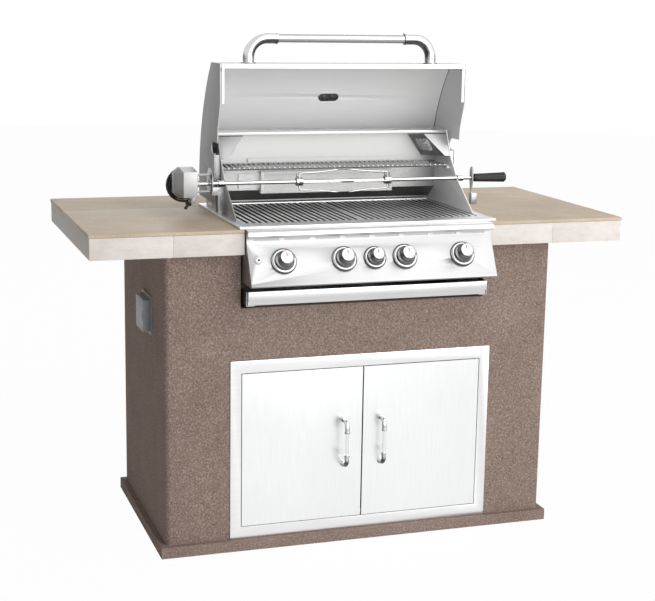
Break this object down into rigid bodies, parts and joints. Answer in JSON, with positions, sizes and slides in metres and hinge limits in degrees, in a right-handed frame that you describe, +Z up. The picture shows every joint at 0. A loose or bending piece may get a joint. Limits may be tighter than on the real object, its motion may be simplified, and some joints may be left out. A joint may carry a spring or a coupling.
{
  "type": "outdoor kitchen island",
  "caption": "Outdoor kitchen island: stuccoed cabinet, tiled counter, drop-in gas grill with an open hood, rotisserie, warming rack and access doors.",
  "frame": {"origin": "centre of the footprint, on the floor", "axes": "+X to the right seen from the front, +Y to the back, +Z up"},
  "size_m": [1.548, 0.7952, 1.4272],
  "materials": {
    "stucco": "textured",
    "tile": "satin",
    "counter_edge": "matte",
    "brushed_panels": "brushed",
    "polished": "polished",
    "firebox_steel": "satin",
    "burner_iron": "matte",
    "galvanised": "satin",
    "burner_ceramic": "matte",
    "lamp_glass": "gloss",
    "black_plastic": "matte",
    "cord_rubber": "matte",
    "outlet_cover": "satin"
  },
  "bodies": {
    "base": {"base_cabinet": "stucco", "counter_core": "counter_edge", "counter_top_left": "tile", "counter_top_right": "tile", "counter_top_rear": "tile", "door_frame": "brushed_panels", "hinge_rod_right": "polished", "hinge_rod_left": "polished", "outlet_box": "outlet_cover", "firebox": "firebox_steel", "deck": "brushed_panels", "front_rail": "brushed_panels", "control_panel": "brushed_panels", "gas_manifold": "galvanised", "burner_1": "burner_iron", "burner_2": "burner_iron", "burner_3": "burner_iron", "burner_4": "burner_iron", "heat_plate_1": "brushed_panels", "heat_plate_2": "brushed_panels", "heat_plate_3": "brushed_panels", "heat_plate_4": "brushed_panels", "grate_left": "brushed_panels", "grate_right": "brushed_panels", "cheek_right": "brushed_panels", "cheek_left": "brushed_panels", "rear_housing": "brushed_panels", "rear_panel": "brushed_panels", "lamp_housing_right": "brushed_panels", "lamp_housing_left": "brushed_panels", "lamp_lens_right": "lamp_glass", "lamp_lens_left": "lamp_glass", "warming_rack": "polished", "rear_burner": "burner_ceramic", "rotisserie_motor": "galvanised", "motor_bracket": "galvanised", "motor_cord": "cord_rubber", "cord_coil": "cord_rubber", "cord_plug": "black_plastic"},
    "hood": {"hood_shell": "brushed_panels", "hood_handle": "polished", "hood_gauge": "polished"},
    "left_door": {"door_left": "brushed_panels", "door_handle_left": "polished"},
    "right_door": {"door_right": "brushed_panels", "door_handle_right": "polished"},
    "outlet_cover": {"outlet_flap": "outlet_cover"},
    "tray": {"drip_tray": "brushed_panels"},
    "spit": {"spit_rod": "polished", "spit_fork_right": "polished", "spit_fork_left": "polished", "spit_handle": "black_plastic", "counterbalance": "brushed_panels"},
    "light_button": {"light_switch": "polished"},
    "burner_knob_1": {"knob_1": "polished"},
    "burner_knob_2": {"knob_2": "polished"},
    "burner_knob_3": {"knob_3": "polished"},
    "burner_knob_4": {"knob_4": "polished"},
    "burner_knob_5": {"knob_5": "polished"}
  },
  "joints": [
    {"name": "hood_hinge", "type": "hinge", "parent": "base", "child": "hood", "pos_m": [0, 0.00015, 1.0185], "axis": [1, 0, 0], "range_deg": [0, 90]},
    {"name": "door_left_hinge", "type": "hinge", "parent": "base", "child": "left_door", "pos_m": [-0.3485, -0.28185, 0.289], "axis": [0, 0, -1], "range_deg": [0, 110]},
    {"name": "door_right_hinge", "type": "hinge", "parent": "base", "child": "right_door", "pos_m": [0.3485, -0.28185, 0.289], "axis": [0, 0, 1], "range_deg": [0, 110]},
    {"name": "outlet_cover_hinge", "type": "hinge", "parent": "base", "child": "outlet_cover", "pos_m": [-0.5761, -0.00635, 0.647], "axis": [0, 0, -1], "range_deg": [0, 110]},
    {"name": "drip_tray_slide", "type": "slide", "parent": "base", "child": "tray", "axis": [0, -1, 0], "range_m": [0, 0.3]},
    {"name": "spit_turn", "type": "hinge", "parent": "base", "child": "spit", "pos_m": [0, -0.08335, 1.009], "axis": [1, 0, 0], "continuous": true},
    {"name": "light_switch_press", "type": "slide", "parent": "base", "child": "light_button", "axis": [0, 0.886, -0.4637], "range_m": [0, 0.0025], "stiffness_N_per_m": 300, "springref_m": -0.001},
    {"name": "knob_1_turn", "type": "hinge", "parent": "base", "child": "burner_knob_1", "pos_m": [-0.259, -0.35385, 0.83027], "axis": [0, -0.886, 0.4637], "range_deg": [0, 180]},
    {"name": "knob_2_turn", "type": "hinge", "parent": "base", "child": "burner_knob_2", "pos_m": [-0.088, -0.35385, 0.83027], "axis": [0, -0.886, 0.4637], "range_deg": [0, 180]},
    {"name": "knob_3_turn", "type": "hinge", "parent": "base", "child": "burner_knob_3", "pos_m": [0, -0.35385, 0.83027], "axis": [0, -0.886, 0.4637], "range_deg": [0, 180]},
    {"name": "knob_4_turn", "type": "hinge", "parent": "base", "child": "burner_knob_4", "pos_m": [0.088, -0.35385, 0.83027], "axis": [0, -0.886, 0.4637], "range_deg": [0, 180]},
    {"name": "knob_5_turn", "type": "hinge", "parent": "base", "child": "burner_knob_5", "pos_m": [0.259, -0.35385, 0.83027], "axis": [0, -0.886, 0.4637], "range_deg": [0, 180]}
  ]
}
